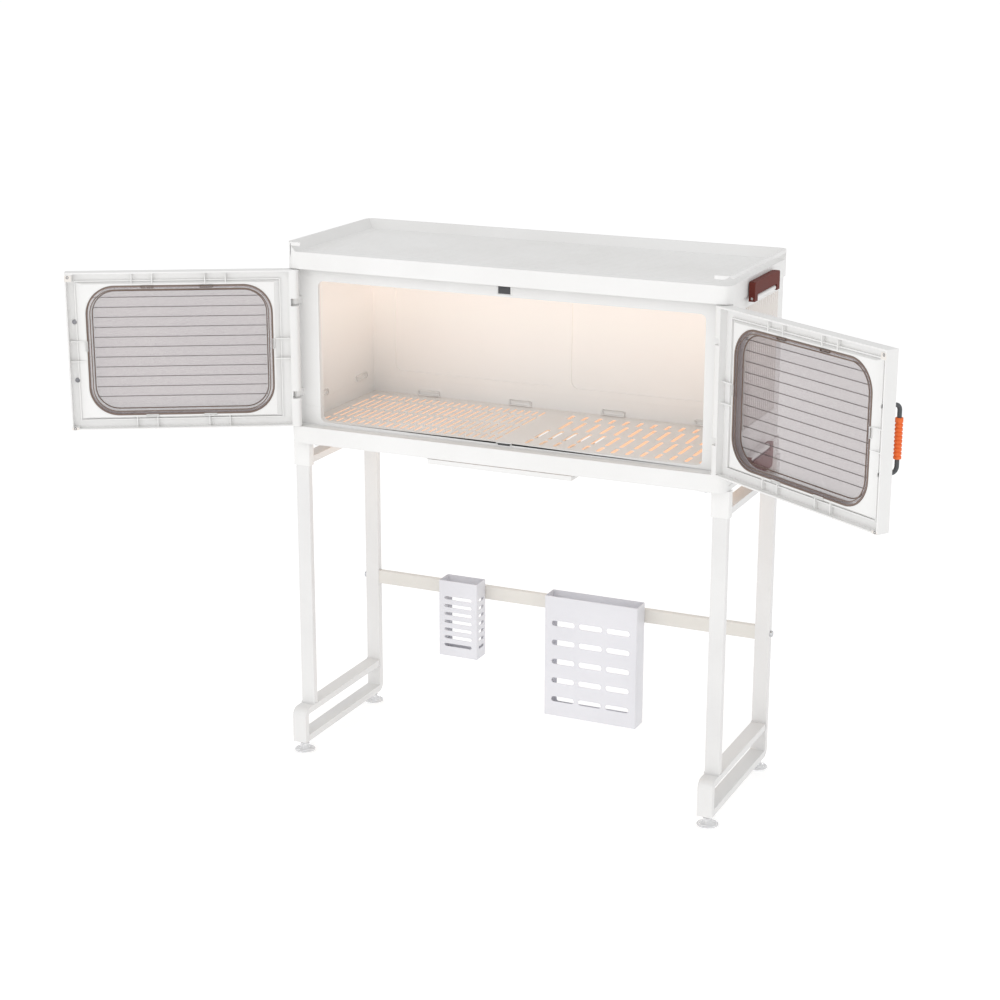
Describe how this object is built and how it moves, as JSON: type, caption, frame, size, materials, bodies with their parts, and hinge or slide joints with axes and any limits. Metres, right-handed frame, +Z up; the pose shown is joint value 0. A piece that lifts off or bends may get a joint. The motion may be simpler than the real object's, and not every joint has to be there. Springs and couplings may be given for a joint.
{
  "type": "two-door dish cabinet on leg frames",
  "caption": "Over-counter dish cabinet: tray top, two side-hung windowed doors, slotted drain floor, tube leg frames with levelling feet, and two baskets on a rear rail.",
  "frame": {"origin": "on the floor, under the middle of the whole object as it stands with its doors open; X zero is the cabinet's middle", "axes": "+X to the right, +Y to the rear, +Z up"},
  "size_m": [1.4605, 0.52, 0.9335],
  "materials": {
    "white_plastic": "satin white moulded polypropylene",
    "drain_plastic": "satin white moulded polypropylene",
    "latch_bar_plastic": "white plastic rod",
    "catch_plastic": "dark grey plastic and magnet",
    "smoked_plastic": "see-through smoked plastic",
    "pull_plastic": "dark grey",
    "grip_rubber": "orange ribbed sleeve",
    "steel": "zinc plated",
    "powder_coat": "white powder coat",
    "latch_plastic": "dark red-brown moulded plastic",
    "socket_plastic": "white moulded plastic",
    "foot_plastic": "translucent soft plastic",
    "rail_coat": "cream powder coat",
    "basket_coat": "light lavender-grey powder coat",
    "drip_plastic": "white moulded plastic"
  },
  "bodies": {
    "cabinet": {"top_tray": "white_plastic", "base_tray": "white_plastic", "lower_frame": "white_plastic", "front_frame": "white_plastic", "back_panel": "white_plastic", "left_side_panel": "white_plastic", "right_side_panel": "white_plastic", "drain_floor": "drain_plastic", "latch_bars": "latch_bar_plastic", "top_catch": "catch_plastic", "bottom_catch": "catch_plastic", "left_door_hinge_pins": "steel", "left_front_leg": "powder_coat", "left_rear_leg": "powder_coat", "left_foot_rail": "powder_coat", "left_top_rail": "powder_coat", "left_front_leg_socket": "socket_plastic", "left_rear_leg_socket": "socket_plastic", "right_door_hinge_pins": "steel", "right_front_leg": "powder_coat", "right_rear_leg": "powder_coat", "right_foot_rail": "powder_coat", "right_top_rail": "powder_coat", "right_front_leg_socket": "socket_plastic", "right_rear_leg_socket": "socket_plastic", "socket_screws": "steel", "foot_nuts": "steel", "rear_rail_bolts": "steel", "rear_rail": "rail_coat", "drip_tray_runners": "drip_plastic"},
    "left_door": {"left_door_shell": "white_plastic", "left_door_window": "smoked_plastic", "left_door_pull": "pull_plastic", "left_door_grip": "grip_rubber", "left_door_pull_screws": "steel", "left_door_catch_plates": "steel"},
    "right_door": {"right_door_shell": "white_plastic", "right_door_window": "smoked_plastic", "right_door_pull": "pull_plastic", "right_door_grip": "grip_rubber", "right_door_pull_screws": "steel", "right_door_catch_plates": "steel"},
    "top_left_latch_body": {"top_left_latch": "latch_plastic"},
    "top_right_latch_body": {"top_right_latch": "latch_plastic"},
    "bottom_left_latch_body": {"bottom_left_latch": "latch_plastic"},
    "bottom_right_latch_body": {"bottom_right_latch": "latch_plastic"},
    "left_front_foot_body": {"left_front_foot": "foot_plastic"},
    "left_rear_foot_body": {"left_rear_foot": "foot_plastic"},
    "right_front_foot_body": {"right_front_foot": "foot_plastic"},
    "right_rear_foot_body": {"right_rear_foot": "foot_plastic"},
    "utensil_basket_body": {"utensil_basket": "basket_coat"},
    "board_basket_body": {"board_basket": "basket_coat"},
    "drip_tray_body": {"drip_tray": "drip_plastic"}
  },
  "joints": [
    {"name": "left_door_swing", "type": "hinge", "parent": "cabinet", "child": "left_door", "pos_m": [-0.389, -0.035, 0.749], "axis": [0, 0, 1], "range_deg": [-5, 150.5]},
    {"name": "right_door_swing", "type": "hinge", "parent": "cabinet", "child": "right_door", "pos_m": [0.389, -0.035, 0.749], "axis": [0, 0, -1], "range_deg": [-8, 147]},
    {"name": "top_left_latch_flip", "type": "hinge", "parent": "cabinet", "child": "top_left_latch_body", "pos_m": [-0.407, 0.109, 0.884], "axis": [0, -1, 0], "range_deg": [0, 95]},
    {"name": "top_right_latch_flip", "type": "hinge", "parent": "cabinet", "child": "top_right_latch_body", "pos_m": [0.407, 0.109, 0.884], "axis": [0, 1, 0], "range_deg": [0, 95]},
    {"name": "bottom_left_latch_flip", "type": "hinge", "parent": "cabinet", "child": "bottom_left_latch_body", "pos_m": [-0.407, 0.109, 0.614], "axis": [0, 1, 0], "range_deg": [0, 95]},
    {"name": "bottom_right_latch_flip", "type": "hinge", "parent": "cabinet", "child": "bottom_right_latch_body", "pos_m": [0.407, 0.109, 0.614], "axis": [0, -1, 0], "range_deg": [0, 95]},
    {"name": "left_front_foot_adjust", "type": "slide", "parent": "cabinet", "child": "left_front_foot_body", "axis": [0, 0, -1], "range_m": [0, 0.005]},
    {"name": "left_rear_foot_adjust", "type": "slide", "parent": "cabinet", "child": "left_rear_foot_body", "axis": [0, 0, -1], "range_m": [0, 0.005]},
    {"name": "right_front_foot_adjust", "type": "slide", "parent": "cabinet", "child": "right_front_foot_body", "axis": [0, 0, -1], "range_m": [0, 0.005]},
    {"name": "right_rear_foot_adjust", "type": "slide", "parent": "cabinet", "child": "right_rear_foot_body", "axis": [0, 0, -1], "range_m": [0, 0.005]},
    {"name": "utensil_basket_slide", "type": "slide", "parent": "cabinet", "child": "utensil_basket_body", "axis": [1, 0, 0], "range_m": [-0.14, 0.06]},
    {"name": "board_basket_slide", "type": "slide", "parent": "cabinet", "child": "board_basket_body", "axis": [1, 0, 0], "range_m": [-0.06, 0.2]},
    {"name": "drip_tray_slide", "type": "slide", "parent": "cabinet", "child": "drip_tray_body", "axis": [0, -1, 0], "range_m": [0, 0.12]}
  ]
}
